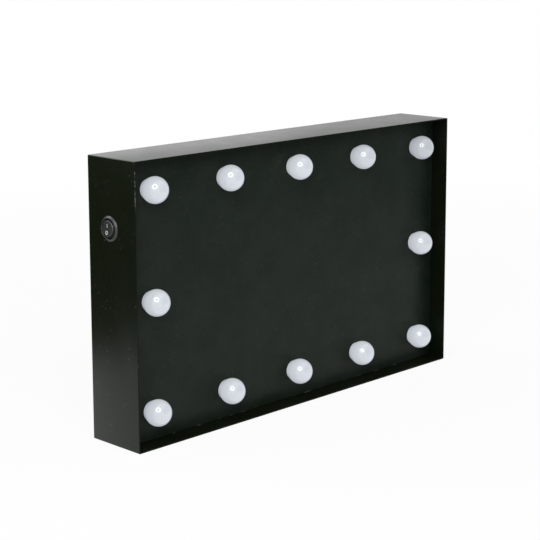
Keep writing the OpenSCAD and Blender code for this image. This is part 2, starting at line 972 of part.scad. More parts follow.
// Cell with its button, lying along X
module battery_cell(k) {
    way = cell_way(k);
    button_x = way * (box_l / 2 - contact_t);
    color(grey_plastic)
        translate([button_x, cell_y, cell_z(k)])
            rotate([0, -way * 90, 0]) {
                cylinder(d = cell_button_d, h = cell_l / 2);
                translate([0, 0, cell_button_h])
                    cylinder(d = cell_d, h = cell_l - cell_button_h);
            }
}

// Contact strips on the end walls: two with a tab for a lead, the others bridge two cells
module battery_contacts() {
    color(bare_metal) {
        contact_strip(-1, 0, 0);
        contact_strip(-1, 1, 2);
        contact_strip(1, 0, 1);
        contact_strip(1, 2, 2);
        contact_tab(-1, cell_z(0));
        contact_tab(1, cell_z(cells - 1));
    }
}

module contact_strip(way, first, last) {
    translate([
        way * (box_l - contact_t) / 2,
        cell_y,
        (cell_z(first) + cell_z(last)) / 2
    ])
        cube([contact_t, contact_w, cell_z(first) - cell_z(last) + contact_w], center = true);
}

module contact_tab(way, z) {
    near = way * (box_l / 2 - contact_t);
    far = way * tab_end_x;
    block(
        [min(near, far), cell_y - tab_w / 2, z - contact_t / 2],
        [max(near, far), cell_y + tab_w / 2, z + contact_t / 2]
    );
}

// Tapered coils that press on the cells' flat ends
module battery_springs() {
    foot_r = contact_w / 2 - spring_wire;
    end_gap = spring_wire / 2 + snug;
    color(bare_metal)
        for (k = [0 : cells - 1])
            translate([-cell_way(k) * (box_l / 2 - contact_t), cell_y, cell_z(k)])
                rotate([0, cell_way(k) * 90, 0])
                    coil(foot_r, spring_tip_r, end_gap, spring_l - end_gap, spring_wire, spring_turns);
}

module lead(route, sheath) {
    color(sheath)
        tube(smooth(route, lead_steps), lead_d, lead_sides);
}

case_frame();
blackboard_panel();
back_cover();
back_cover_screws();
switch_housing();
switch_rocker();
switch_plunger();
plunger_spring();
contact_blade();
switch_terminals();
battery_box();
battery_box_screws();
battery_door();
door_screw();
battery_contacts();
battery_springs();
led_jumpers(red, red_sheath);  // led_jumpers_red
led_jumpers(black, black_sheath);  // led_jumpers_black
lead(battery_red_route, red_sheath);  // battery_lead_red
lead(battery_black_route, black_sheath);  // battery_lead_black
lead(switch_red_route, red_sheath);  // switch_lead_red
for (k = [0 : cells - 1])
    battery_cell(k);
for (i = [0 : len(bulbs) - 1]) {
    bulb_globe(bulbs[i]);
    bulb_socket(bulbs[i]);
    bulb_led(bulbs[i]);
}
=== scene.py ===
import json
import math

import bmesh
import bpy
from mathutils import Matrix, Vector


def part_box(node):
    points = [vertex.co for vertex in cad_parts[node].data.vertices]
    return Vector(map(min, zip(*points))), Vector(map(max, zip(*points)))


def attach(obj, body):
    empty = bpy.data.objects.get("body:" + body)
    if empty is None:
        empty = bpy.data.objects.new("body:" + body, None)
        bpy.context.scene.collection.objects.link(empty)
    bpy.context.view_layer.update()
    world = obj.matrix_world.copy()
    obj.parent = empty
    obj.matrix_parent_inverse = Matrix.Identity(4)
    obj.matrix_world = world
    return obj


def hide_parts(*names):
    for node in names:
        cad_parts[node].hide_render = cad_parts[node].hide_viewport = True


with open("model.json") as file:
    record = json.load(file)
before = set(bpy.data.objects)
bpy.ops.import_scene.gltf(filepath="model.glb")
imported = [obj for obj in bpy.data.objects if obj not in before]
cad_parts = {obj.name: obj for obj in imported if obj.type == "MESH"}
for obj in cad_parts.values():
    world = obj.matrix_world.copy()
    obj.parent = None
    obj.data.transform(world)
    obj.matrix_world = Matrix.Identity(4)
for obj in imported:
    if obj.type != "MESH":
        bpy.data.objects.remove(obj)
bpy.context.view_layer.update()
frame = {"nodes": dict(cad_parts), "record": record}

# Sizes in metres, read from the frame where it has them
MM = 0.001
record = frame["record"]
body_of_node = {n: body for body, nodes in record["behaviour"]["bodies"].items() for n in nodes}
slot_of_node = {part["node"]: part["material_slot"] for part in record["subparts"]}
pivots = {joint["name"]: Vector(joint["pos_m"]) for joint in record["behaviour"]["joints"]}

case_low, case_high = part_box("case_frame")
panel_low, panel_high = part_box("blackboard_panel")
cover_low, cover_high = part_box("back_cover")
door_low, door_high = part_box("battery_door")
CASE_W = case_high.x - case_low.x
CASE_H = case_high.z - case_low.z
FRONT_Y = case_low.y
PANEL_Y = panel_low.y
COVER_Y = case_high.y
BACK_Y = cover_high.y
SHEET = panel_low.x - case_low.x
COVER_INSET = cover_low.x - case_low.x

# Case: outer radius of its rear folds and of its four corners, rounding of cut edges and of the front
# rim, width of the rear flange, slit at its mitres, hole for the switch
FOLD_R = 1.6 * MM
CORNER_R = 0.9 * MM
EDGE_R = 0.2 * MM
RIM_R = 0.1 * MM
FLANGE_W = 14 * MM
MITRE_SLIT = 0.8 * MM
WALL_HOLE_R = 10.05 * MM
# Lighter dashes on the left front edge, from where they start to where they are full: reach from
# the left face, reach from the front, height
LIGHT_DASH_SIDE = (0.9 * MM, 0.3 * MM)
LIGHT_DASH_FRONT = (0.6 * MM, 0.1 * MM)
LIGHT_DASH_HEIGHT = (210 * MM, 222 * MM)
# Blackboard: sheet, fold radius of its edge, radius of its corners, holes, and the height over the
# case's lower wall from where lighter streaks start in the fold to where they are full
PANEL_T = 1 * MM
PANEL_FOLD_R = 0.9 * MM
PANEL_CORNER_R = 1.9 * MM
BULB_HOLE_R = 8.2 * MM
FOLD_STREAK_HEIGHT = (1.3 * MM, 0.7 * MM)
# Globes, with heights measured from the blackboard's face
BULBS = 12
GLOBE_R = 12 * MM
GLOBE_STAND = 9.3 * MM
GLOBE_WALL = 1 * MM
NECK_R = 9.2 * MM
SPIGOT_R = 8 * MM
SPIGOT_END = -8 * MM
# Switch shell, measured outward from the case's left wall
BEZEL_R = 11.2 * MM
BEZEL_H = 1.6 * MM
BEZEL_EDGE = 0.3 * MM
BEZEL_LIP_R = 0.6 * MM
BARREL_R = 9.85 * MM
BARREL_L = 13 * MM
BARREL_FLOOR = 2 * MM
OPENING_R = 8.85 * MM
STUB_HOLE_R = 1.28 * MM
WING_W = 5 * MM
WING_L = 7 * MM
WING_RISE = 1 * MM
WING_FOOT = 0.25 * MM
WING_DROP = 1.4 * MM
TERMINAL_W = 4.9 * MM
TERMINAL_T = 0.9 * MM
CONTACT_REACH = 5 * MM
STOP_TOP = -9.61 * MM
STOP_W = 4 * MM
STOP_T = 0.8 * MM
# Rocker, measured from its pivot
ROCKER_R = 8.45 * MM
CAP_R = 7.2 * MM
COLLAR = 0.8 * MM
ROCKER_RISE = 4.5 * MM
ROCKER_REST = 5
DISH_R = 32 * MM
FACE_STEPS = 10
RIM_ROUND = 1 * MM
SKIRT = 1.5 * MM
SHELL = 1.9 * MM
POST_R = 2.2 * MM
POST_L = 4.5 * MM
BORE_R = 1.3 * MM
BORE_TOP = 1 * MM
STUB_R = 1.2 * MM
STUB_END = 9.75 * MM
MARK_LIFT = 0.04 * MM
BAR_AT = 2.5 * MM
BAR_L = 3.2 * MM
BAR_W = 0.65 * MM
BAR_STEPS = 8
RING_AT = -3.6 * MM
RING_R = 1.65 * MM
RING_W = 0.75 * MM
RING_STEPS = 40
# Rear cover, door and screws; the wall is a share of the head's height and the tip of the shank's radius
COVER_CORNER_R = 4 * MM
SCREW_HOLE_R = 1.65 * MM
SCREW_CORNER = 25 * MM
SHANK_R = 1.45 * MM
SHANK_L = 6 * MM
HEAD_R = 2.8 * MM
HEAD_H = 1.8 * MM
HEAD_WALL = 0.45
DOME_STEP = 10
TIP_SHARE = 0.6
CROSS_L = 3 * MM
CROSS_W = 0.7 * MM
CROSS_DEPTH = 0.9 * MM
CROSS_TAPER = 0.55
DOOR_HALF = 31 * MM
DOOR_T = 1.6 * MM
KNUCKLE_R = 2.6 * MM
PIN_R = 0.9 * MM
DOOR_GAP = 0.4 * MM
HINGE_ROOM = 0.6 * MM
DOOR_SCREW_EDGE = 4 * MM
DOOR_HEAD_R = 2.5 * MM
DOOR_HEAD_H = 1.3 * MM
DOOR_SHANK_R = 1.2 * MM
DOOR_SHANK_L = 8 * MM
SEAT_GAP = 0.05 * MM
RIBS = 3
RIB_START = 9 * MM
RIB_END = 24 * MM
RIB_STEP = 2.2 * MM
RIB_R = 0.6 * MM
RIB_SINK = 0.1 * MM
# Cells and springs
CELLS = (1, 2, 3)
CELL_R = 7.25 * MM
CELL_EDGE_R = 0.6 * MM
CELL_CRIMP = 1.6 * MM
CELL_DENT = 0.3 * MM
CELL_BUTTON_R = 2.75 * MM
CELL_BUTTON_H = 1 * MM
CELL_BUTTON_EDGE = 0.3 * MM
CELL_BUTTON_FOOT = 0.2 * MM
SPRING_L = 6.5 * MM
SPRING_WIRE_R = 0.4 * MM
SPRING_FOOT_R = 4.7 * MM
SPRING_TIP_R = 2.75 * MM
SPRING_TURNS = 4
SPRING_SEAT = 0.1 * MM
COIL_R = 0.85 * MM
COIL_WIRE_R = 0.175 * MM
COIL_START = -2.525 * MM
COIL_END = 0.725 * MM
COIL_TURNS = 5
# Glow of the globes, partly the lit lamps' own light and partly painted light for light spread through
# the milky plastic, and the painted shade that dims the upper right one
GLOW = 0.59
GLOW_PAINTED_SHADE = 0.17
# Gloss of the case's paint outside, and on the rim and inside
CASE_GLOSS = 0.35
INNER_GLOSS = 0.1
# Values that a noise texture mostly keeps to
NOISE_RANGE = (0.3, 0.7)
# Angle in degrees over which an edge stays crisp
CREASE = 30
# Steps round an arc, a turned piece, the bezel, a rod, a screw, a pin, a rib and a screw hole
ARC_STEPS = 6
TURN_STEPS = 64
BEZEL_STEPS = 96
ROD_STEPS = 48
SCREW_STEPS = 40
PIN_STEPS = 32
RIB_STEPS = 20
HOLE_STEPS = 24
# How far a cutter reaches past what it cuts, and how deep it goes for screws in flange and plate
CUT = 1 * MM
FLANGE_CUT = 5 * MM
PLATE_CUT = 3 * MM

# Local frames: Z out of the blackboard, out of the left wall with X up, and out of the back
OUT_OF_FRONT = Matrix.Rotation(math.radians(90), 4, "X")
OUT_OF_LEFT = Matrix.Rotation(math.radians(-90), 4, "Y")
OUT_OF_BACK = Matrix.Rotation(math.radians(-90), 4, "X")


# Mesh helpers
def arc(center, radius, start, end, steps=ARC_STEPS):
    """Points on an arc between two angles in degrees."""
    angles = [math.radians(start + (end - start) * i / steps) for i in range(steps + 1)]
    return [(center[0] + radius * math.cos(a), center[1] + radius * math.sin(a)) for a in angles]


def skin(bm, rings, closed):
    """Faces between rings of equal length, on into the first ring again if closed, or with flat ends."""
    count = len(rings)
    for i in range(count if closed else count - 1):
        near = rings[i]
        far = rings[(i + 1) % count]
        for k in range(len(near)):
            n = (k + 1) % len(near)
            corners = list(dict.fromkeys((near[k], near[n], far[n], far[k])))
            if len(corners) > 2:
                bm.faces.new(corners)
    if not closed:
        for ring in (rings[0], rings[-1]):
            corners = list(dict.fromkeys(ring))
            if len(corners) > 2:
                bm.faces.new(corners)


def loft(rings, closed=False):
    """Mesh through rings of points."""
    bm = bmesh.new()
    skin(bm, [[bm.verts.new(p) for p in ring] for ring in rings], closed)
    return bm


def turned_by(profile_at, closed=False, steps=TURN_STEPS):
    """Solid about local Z whose outline, points of radius and height, depends on the angle."""
    bm = bmesh.new()
    angles = [2 * math.pi * k / steps for k in range(steps)]
    rings = []
    for row in zip(*[profile_at(a) for a in angles]):
        if row[0][0] == 0:
            rings.append([bm.verts.new((0, 0, row[0][1]))] * steps)
        else:
            rings.append([
                bm.verts.new((r * math.cos(a), r * math.sin(a), z)) for a, (r, z) in zip(angles, row)
            ])
    skin(bm, rings, closed)
    return bm


def turned(profile, closed=False, steps=TURN_STEPS):
    """Solid of revolution about local Z through points of radius and height."""
    return turned_by(lambda angle: profile, closed, steps)


def rod(start, end, radius, steps=ROD_STEPS):
    """Straight round bar between two points."""
    start = Vector(start)
    axis = Vector(end) - start
    turn = Vector((0, 0, 1)).rotation_difference(axis).to_matrix().to_4x4()
    bm = turned([(radius, 0), (radius, axis.length)], steps=steps)
    bmesh.ops.transform(bm, matrix=Matrix.Translation(start) @ turn, verts=bm.verts)
    return bm


def brick(low, high):
    """Box between two corners."""
    low = Vector(low)
    high = Vector(high)
    bm = bmesh.new()
    bmesh.ops.create_cube(bm, size=1)
    middle = Matrix.Translation((low + high) / 2)
    bmesh.ops.transform(bm, matrix=middle @ Matrix.Diagonal((*(high - low), 1)), verts=bm.verts)
    return bm


def swept(points, radius, sides=12):
    """Round wire along points, with flat ends."""
    rings = []
    side = Vector((0, 0, 1))
    for i, point in enumerate(points):
        along = (points[min(i + 1, len(points) - 1)] - points[max(i - 1, 0)]).normalized()
        if i == 0 and abs(along.dot(side)) > 0.8:
            side = Vector((1, 0, 0))
        side = (side - along * side.dot(along)).normalized()
        other = along.cross(side)
        angles = [2 * math.pi * k / sides for k in range(sides)]
        rings.append([point + radius * (math.cos(a) * side + math.sin(a) * other) for a in angles])
    return loft(rings)


def gathered(part, places):
    """One mesh with a part at every place."""
    whole = bmesh.new()
    mesh = bpy.data.meshes.new("gathered")
    part.to_mesh(mesh)
    part.free()
    for place in places:
        copy = mesh.copy()
        copy.transform(place)
        whole.from_mesh(copy)
        bpy.data.meshes.remove(copy)
    bpy.data.meshes.remove(mesh)
    return whole


def merge_into(whole, part):
    """Adds a part's mesh to a whole."""
    mesh = bpy.data.meshes.new("part")
    part.to_mesh(mesh)
    part.free()
    whole.from_mesh(mesh)
    bpy.data.meshes.remove(mesh)


def solid(name, bm, place=Matrix()):
    """Object in the scene with that mesh, put in place in the row frame."""
    bmesh.ops.transform(bm, matrix=place, verts=bm.verts)
    bmesh.ops.recalc_face_normals(bm, faces=bm.faces)
    mesh = bpy.data.meshes.new(name)
    bm.to_mesh(mesh)
    bm.free()
    obj = bpy.data.objects.new(name, mesh)
    bpy.context.scene.collection.objects.link(obj)
    return obj


def combine(obj, tool, operation="DIFFERENCE"):
    """Cuts a tool out of an object, or adds it, and removes the tool."""
    modifier = obj.modifiers.new("combine", "BOOLEAN")
    modifier.operation = operation
    modifier.solver = "EXACT"
    modifier.use_self = True
    modifier.object = tool
    bpy.context.view_layer.update()
    evaluated = obj.evaluated_get(bpy.context.evaluated_depsgraph_get())
    mesh = bpy.data.meshes.new_from_object(evaluated)
    obj.modifiers.clear()
    obj.data = mesh
    mesh.name = obj.name
    bpy.data.objects.remove(tool)


def smooth(obj, crease=CREASE):
    """Smooth shading, with edges sharper than the crease angle kept crisp."""
    mesh = obj.data
    mesh.polygons.foreach_set("use_smooth", [True] * len(mesh.polygons))
    mesh.set_sharp_from_angle(angle=math.radians(crease))


def stand_for(obj, node, crease=CREASE):
    """The object takes a node's place, body and finish."""
    smooth(obj, crease)
    obj.data.materials.clear()
    obj.data.materials.append(materials[slot_of_node[node]])
    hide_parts(node)
    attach(obj, body_of_node[node])


# Material helpers
def feed(links, socket, value):
    """Sets a socket to a value, or links it to another socket."""
    if isinstance(value, bpy.types.NodeSocket):
        links.new(value, socket)
    else:
        socket.default_value = value


def math_node(nodes, links, operation, a, b):
    """Result of an operation on two values or sockets."""
    node = nodes.new("ShaderNodeMath")
    node.operation = operation
    feed(links, node.inputs[0], a)
    feed(links, node.inputs[1], b)
    return node.outputs[0]


def smooth_step(nodes, links, value, low, high, to_low, to_high):
    """Goes smoothly from to_low to to_high as the value goes from low to high."""
    node = nodes.new("ShaderNodeMapRange")
    node.interpolation_type = "SMOOTHSTEP"
    links.new(value, node.inputs["Value"])
    limits = {"From Min": low, "From Max": high, "To Min": to_low, "To Max": to_high}
    for name, number in limits.items():
        node.inputs[name].default_value = number
    return node.outputs["Result"]


class Surface:
    """A material with a Principled shader and short calls for its texture nodes."""

    def __init__(self, name):
        self.material = bpy.data.materials.new(name)
        self.material.use_nodes = True
        self.nodes = self.material.node_tree.nodes
        self.links = self.material.node_tree.links
        self.shader = self.nodes["Principled BSDF"]
        self.place = self.nodes.new("ShaderNodeTexCoord").outputs["Object"]

    def set(self, **values):
        """Uniform values on the shader's sockets, with _ for a space in a name."""
        for name, value in values.items():
            self.shader.inputs[name.replace("_", " ")].default_value = value

    def noise(self, scale, detail, roughness=0.55):
        node = self.nodes.new("ShaderNodeTexNoise")
        self.links.new(self.place, node.inputs["Vector"])
        node.inputs["Scale"].default_value = scale
        node.inputs["Detail"].default_value = detail
        node.inputs["Roughness"].default_value = roughness
        return node.outputs["Fac"]

    def math(self, operation, a, b):
        return math_node(self.nodes, self.links, operation, a, b)

    def spread(self, value, low, high, to_low=0.0, to_high=1.0):
        return smooth_step(self.nodes, self.links, value, low, high, to_low, to_high)

    def axis(self, name):
        node = self.nodes.new("ShaderNodeSeparateXYZ")
        self.links.new(self.place, node.inputs[0])
        return node.outputs[name]

    def mix(self, factor, a, b):
        node = self.nodes.new("ShaderNodeMix")
        node.data_type = "RGBA"
        # Inputs 6 and 7 and output 2 are the node's colours
        feed(self.links, node.inputs["Factor"], factor)
        feed(self.links, node.inputs[6], a)
        feed(self.links, node.inputs[7], b)
        return node.outputs[2]

    def specks(self, scale, size, share):
        """Scattered dots: cells per metre, radius as a share of a cell, share of cells with a dot."""
        node = self.nodes.new("ShaderNodeTexVoronoi")
        self.links.new(self.place, node.inputs["Vector"])
        node.inputs["Scale"].default_value = scale
        split = self.nodes.new("ShaderNodeSeparateColor")
        self.links.new(node.outputs["Color"], split.inputs[0])
        dot = self.spread(node.outputs["Distance"], size, size / 2)
        chosen = self.math("LESS_THAN", split.outputs[0], share)
        return self.math("MULTIPLY", self.math("MULTIPLY", dot, chosen), split.outputs[1])

    def drive(self, name, value):
        """Links a texture to one of the shader's sockets."""
        self.links.new(value, self.shader.inputs[name])

    def colour(self, value):
        self.drive("Base Color", value)

    def roughness(self, noise, low, high):
        """Roughness between two limits that follows a noise."""
        self.drive("Roughness", self.spread(noise, *NOISE_RANGE, low, high))

    def bump(self, height, distance, strength):
        node = self.nodes.new("ShaderNodeBump")
        self.links.new(height, node.inputs["Height"])
        node.inputs["Distance"].default_value = distance
        node.inputs["Strength"].default_value = strength
        self.drive("Normal", node.outputs["Normal"])


def grey(level, green=0.0, blue=0.0):
    """Opaque colour of one level, with a tint added to green and blue."""
    return (level, level + green, level + blue, 1)


def case_paint(name, gloss):
    """Satin black paint with fine orange peel, dust, and lighter dashes on the upper left front edge."""
    s = Surface(name)
    cloud = s.noise(9, 5)
    base = s.mix(cloud, (0.0030, 0.0050, 0.0018, 1), (0.0046, 0.0068, 0.0030, 1))
    dust = s.specks(200, 0.18, 0.3)
    base = s.mix(dust, base, grey(0.06, 0.004, 0.001))
    side = s.spread(s.axis("X"), *[reach - CASE_W / 2 for reach in LIGHT_DASH_SIDE])
    front = s.spread(s.axis("Y"), *[FRONT_Y + reach for reach in LIGHT_DASH_FRONT])
    upper = s.spread(s.axis("Z"), *LIGHT_DASH_HEIGHT)
    # Lighter dashes along the upper part of the left front edge, mixed into the colour
    dashes = s.spread(s.noise(190, 3), 0.42, 0.58)
    edge = s.math("MULTIPLY", s.math("MULTIPLY", side, front), upper)
    light_dashes = s.math("MULTIPLY", edge, dashes)
    s.colour(s.mix(s.math("MULTIPLY", light_dashes, 0.9), base, grey(0.12, 0.003, 0.002)))
    s.roughness(s.noise(40, 4), 0.30, 0.33)
    s.bump(s.noise(700, 2), 0.006 * MM, 0.5)
    s.set(Specular_IOR_Level=gloss, Specular_Tint=(0.88, 1.0, 0.94, 1))
    return s.material


def board_paint():
    """Semi-matte blackboard paint with faint clouds of chalk, dust, and lighter streaks in the lower
    fold.
    """
    s = Surface("board_paint")
    cloud = s.spread(s.noise(36, 6, 0.72), 0.34, 0.66)
    base = s.mix(cloud, (0.0076, 0.0124, 0.0078, 1), (0.0114, 0.0166, 0.0122, 1))
    dust = s.specks(200, 0.17, 0.5)
    base = s.mix(dust, base, grey(0.09, 0.006, 0.002))
    # Lighter streaks along the lower fold, mixed into the colour
    seam = s.spread(s.axis("Z"), *[SHEET + height for height in FOLD_STREAK_HEIGHT])
    streaks = s.spread(s.noise(70, 3), 0.56, 0.64)
    s.colour(s.mix(s.math("MULTIPLY", seam, streaks), base, grey(0.10, 0.008, 0.002)))
    s.roughness(s.noise(30, 5), 0.30, 0.38)
    s.bump(s.noise(1400, 3), 0.012 * MM, 0.6)
    s.set(Specular_IOR_Level=0.1)
    return s.material


def globe_plastic():
    """Milky plastic with a hard glossy skin, softly lit from inside, partly painted light for light
    spread through the plastic, with painted shade towards the upper right.
    """
    s = Surface("globe_plastic")
    s.colour(s.mix(s.noise(60, 3), (0.14, 0.148, 0.165, 1), (0.16, 0.168, 0.185, 1)))
    s.roughness(s.noise(200, 3), 0.35, 0.45)
    s.set(Specular_IOR_Level=0.1)
    s.set(Coat_Weight=1.0, Coat_Roughness=0.01, Coat_IOR=1.6)
    # Glow: partly the lamp's own light, partly painted light standing in for light spread through the
    # milky plastic
    s.set(Emission_Color=(0.88, 0.93, 1.0, 1))
    # Painted shade: less glow towards the upper right
    right = s.spread(s.axis("X"), 0, CASE_W / 2)
    upper = s.spread(s.axis("Z"), CASE_H / 3, CASE_H)
    painted_shade = s.math("MULTIPLY", s.math("MULTIPLY", right, upper), GLOW_PAINTED_SHADE)
    s.drive("Emission Strength", s.math("SUBTRACT", GLOW, painted_shade))
    return s.material


def moulded(name, dark, light, rough, grain, depth):
    """Moulded plastic with a grain of that many bumps per metre."""
    s = Surface(name)
    s.colour(s.mix(s.noise(45, 4), dark, light))
    s.roughness(s.noise(120, 4), rough - 0.05, rough + 0.05)
    s.bump(s.noise(grain, 3), depth, 0.6)
    return s.material


def plated(name, dark, light, rough):
    """Bare or plated metal with drawn marks and a little tarnish."""
    s = Surface(name)
    s.colour(s.mix(s.noise(300, 5), dark, light))
    s.roughness(s.noise(700, 4), rough - 0.07, rough + 0.07)
    s.bump(s.noise(1800, 3), 0.01 * MM, 0.5)
    s.set(Metallic=1.0)
    return s.material


def cell_sleeve():
    """Plain silver-grey sleeve of a cell."""
    s = Surface("cell_sleeve")
    s.colour(s.mix(s.noise(120, 3), grey(0.42, 0.005, 0.015), grey(0.52, 0.006, 0.018)))
    s.roughness(s.noise(90, 3), 0.22, 0.32)
    s.bump(s.noise(500, 2), 0.01 * MM, 0.4)
    s.set(Metallic=0.35, Coat_Weight=0.5)
    return s.material


def resin():
    """Clear resin of a small light."""
    s = Surface("resin")
    s.colour(s.mix(s.noise(400, 2), (0.78, 0.74, 0.52, 1), (0.86, 0.82, 0.62, 1)))
    s.roughness(s.noise(300, 2), 0.08, 0.16)
    s.set(Transmission_Weight=0.5)
    return s.material


def print_paint():
    """White print of the switch's marks."""
    s = Surface("print_paint")
    s.colour(s.mix(s.noise(2500, 4), grey(0.50, 0.005, 0.0), grey(0.72, 0.005, 0.0)))
    s.roughness(s.noise(900, 2), 0.4, 0.55)
    return s.material


materials = {
    "black_paint": case_paint("case_paint", CASE_GLOSS),
    "blackboard": board_paint(),
    "milky_globe": globe_plastic(),
    "black_gloss": moulded(
        "bezel_plastic", grey(0.020, 0.002, 0.001), grey(0.028, 0.002, 0.001), 0.34, 1500, 0.01 * MM
    ),
    "rocker_plastic": moulded(
        "rocker_plastic", grey(0.024, 0.004, 0.002), grey(0.032, 0.004, 0.002), 0.34, 1900, 0.01 * MM
    ),
    "black_matte": moulded("textured_plastic", grey(0.014), grey(0.024), 0.55, 1300, 0.06 * MM),
    "black_screw": plated("black_oxide", grey(0.10), grey(0.19), 0.38),
    "brass_parts": plated("brass", (0.62, 0.42, 0.15, 1), (0.76, 0.55, 0.24, 1), 0.28),
    "spring_steel": plated("nickel", grey(0.55), grey(0.72), 0.25),
    "red_wire": moulded(
        "red_sheath", (0.40, 0.015, 0.012, 1), (0.52, 0.022, 0.016, 1), 0.40, 900, 0.02 * MM
    ),
    "black_wire": moulded("black_sheath", grey(0.012), grey(0.022), 0.40, 900, 0.02 * MM),
    "cell_wrap": cell_sleeve(),
    "led_resin": resin(),
}
inner_paint = case_paint("inner_paint", INNER_GLOSS)
print_material = print_paint()


# Pieces
def case_ring(inset, y, radius):
    """Rounded outline of the case, drawn in by inset, at depth y."""
    half_w = CASE_W / 2 - inset
    half_h = CASE_H / 2 - inset
    ring = []
    for x_way, z_way, start in ((1, 1, 0), (-1, 1, 90), (-1, -1, 180), (1, -1, 270)):
        center = (x_way * (half_w - radius), CASE_H / 2 + z_way * (half_h - radius))
        ring += [Vector((x, y, z)) for x, z in arc(center, radius, start, start + 90)]
    return ring


def outline_rings(profile, corner_r, least_r):
    """Rings of the case's outline along a profile of insets and depths."""
    return [case_ring(inset, y, max(corner_r - inset, least_r)) for inset, y in profile]


def back_places(points):
    """Local frames on the back, at points of x and z."""
    return [Matrix.Translation((x, BACK_Y, z)) @ OUT_OF_BACK for x, z in points]


def node_centers(node, radius):
    """Left and right x, and low and high z, of the outermost screws of a node."""
    low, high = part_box(node)
    return low.x + radius, high.x - radius, low.z + radius, high.z - radius


left_x, right_x, low_z, high_z = node_centers("back_cover_screws", HEAD_R)
end_x = CASE_W / 2 - SCREW_CORNER
cover_screw_points = [(x, z) for x in (-end_x, 0, end_x) for z in (low_z, high_z)]
cover_screw_points += [(x, CASE_H / 2) for x in (left_x, right_x)]
left_x, right_x, low_z, high_z = node_centers("battery_box_screws", HEAD_R)
box_screw_points = [(x, z) for x in (left_x, right_x) for z in (low_z, high_z)]
bulb_points = {}
for i in range(1, BULBS + 1):
    low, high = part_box(f"bulb_globe_{i:02d}")
    bulb_points[f"{i:02d}"] = ((low.x + high.x) / 2, (low.z + high.z) / 2)


def make_case():
    """Folded band with rounded edges and a rear flange, and flatter paint on its rim and inside."""
    profile = arc((FOLD_R, COVER_Y - FOLD_R), FOLD_R, 180, 90)
    profile += arc((FLANGE_W - EDGE_R, COVER_Y - EDGE_R), EDGE_R, 90, 0, steps=3)
    profile += arc((FLANGE_W - EDGE_R, COVER_Y - SHEET + EDGE_R), EDGE_R, 0, -90, steps=3)
    inner = FOLD_R - SHEET
    profile += arc((SHEET + inner, COVER_Y - SHEET - inner), inner, 90, 180, steps=3)
    profile += arc((SHEET - RIM_R, FRONT_Y + RIM_R), RIM_R, 0, -90, steps=4)
    profile += arc((RIM_R, FRONT_Y + RIM_R), RIM_R, -90, -180, steps=4)
    case = solid("case_band", loft(outline_rings(profile, CORNER_R, FOLD_R - SHEET), closed=True))
    pivot = pivots["rocker_tilt"]
    outside = (case_low.x - CUT, pivot.y, pivot.z)
    within = (case_low.x + SHEET + CUT, pivot.y, pivot.z)
    tool = rod(outside, within, WALL_HOLE_R)
    screw = rod((0, 0, -FLANGE_CUT), (0, 0, CUT), SHANK_R + SEAT_GAP, HOLE_STEPS)
    merge_into(tool, gathered(screw, back_places(cover_screw_points)))
    merge_into(tool, mitre_slits())
    combine(case, solid("case_tool", tool))
    stand_for(case, "case_frame")
    case.data.materials.append(inner_paint)
    for face in case.data.polygons:
        x, y, z = face.center
        inset = min(CASE_W / 2 - abs(x), z, CASE_H - z)
        inside = inset > SHEET / 2 and y < COVER_Y - SHEET
        face.material_index = int(inside or y < FRONT_Y + RIM_R)


def mitre_slits():
    """Cutters where the rear flanges meet at the corners."""
    length = math.sqrt(2) * (FLANGE_W - FOLD_R)
    near = (0, COVER_Y - 2 * SHEET, -MITRE_SLIT / 2)
    far = (length, COVER_Y + CUT, MITRE_SLIT / 2)
    whole = bmesh.new()
    for x_way in (-1, 1):
        for z_way in (-1, 1):
            slit = brick(near, far)
            angle = math.atan2(-z_way, x_way)
            corner = (x_way * (CASE_W / 2 - FLANGE_W), 0, CASE_H / 2 + z_way * (CASE_H / 2 - FLANGE_W))
            turn = Matrix.Translation(corner) @ Matrix.Rotation(angle, 4, "Y")
            bmesh.ops.transform(slit, matrix=turn, verts=slit.verts)
            merge_into(whole, slit)
    return whole


def make_board():
    """Shallow tray with folded edges and a hole for each bulb."""
    back = panel_high.y
    face = SHEET + PANEL_FOLD_R
    profile = [(SHEET + PANEL_T, PANEL_Y + PANEL_T), (SHEET + PANEL_T, back), (SHEET, back)]
    profile += arc((face, PANEL_Y + PANEL_FOLD_R), PANEL_FOLD_R, 180, 270)
    board = solid("board_tray", loft(outline_rings(profile, PANEL_CORNER_R + SHEET, PANEL_FOLD_R)))
    places = [Matrix.Translation((x, PANEL_Y, z)) @ OUT_OF_FRONT for x, z in bulb_points.values()]
    hole = rod((0, 0, -PANEL_T - CUT), (0, 0, CUT), BULB_HOLE_R)
    combine(board, solid("board_tool", gathered(hole, places)))
    stand_for(board, "blackboard_panel")


def touch_angle(point, center, radius):
    """Angle in degrees, seen from a circle's centre, at which a line from a point touches the circle."""
    reach = Vector(point) - Vector(center)
    return math.degrees(math.atan2(reach.y, reach.x) + math.acos(radius / reach.length))


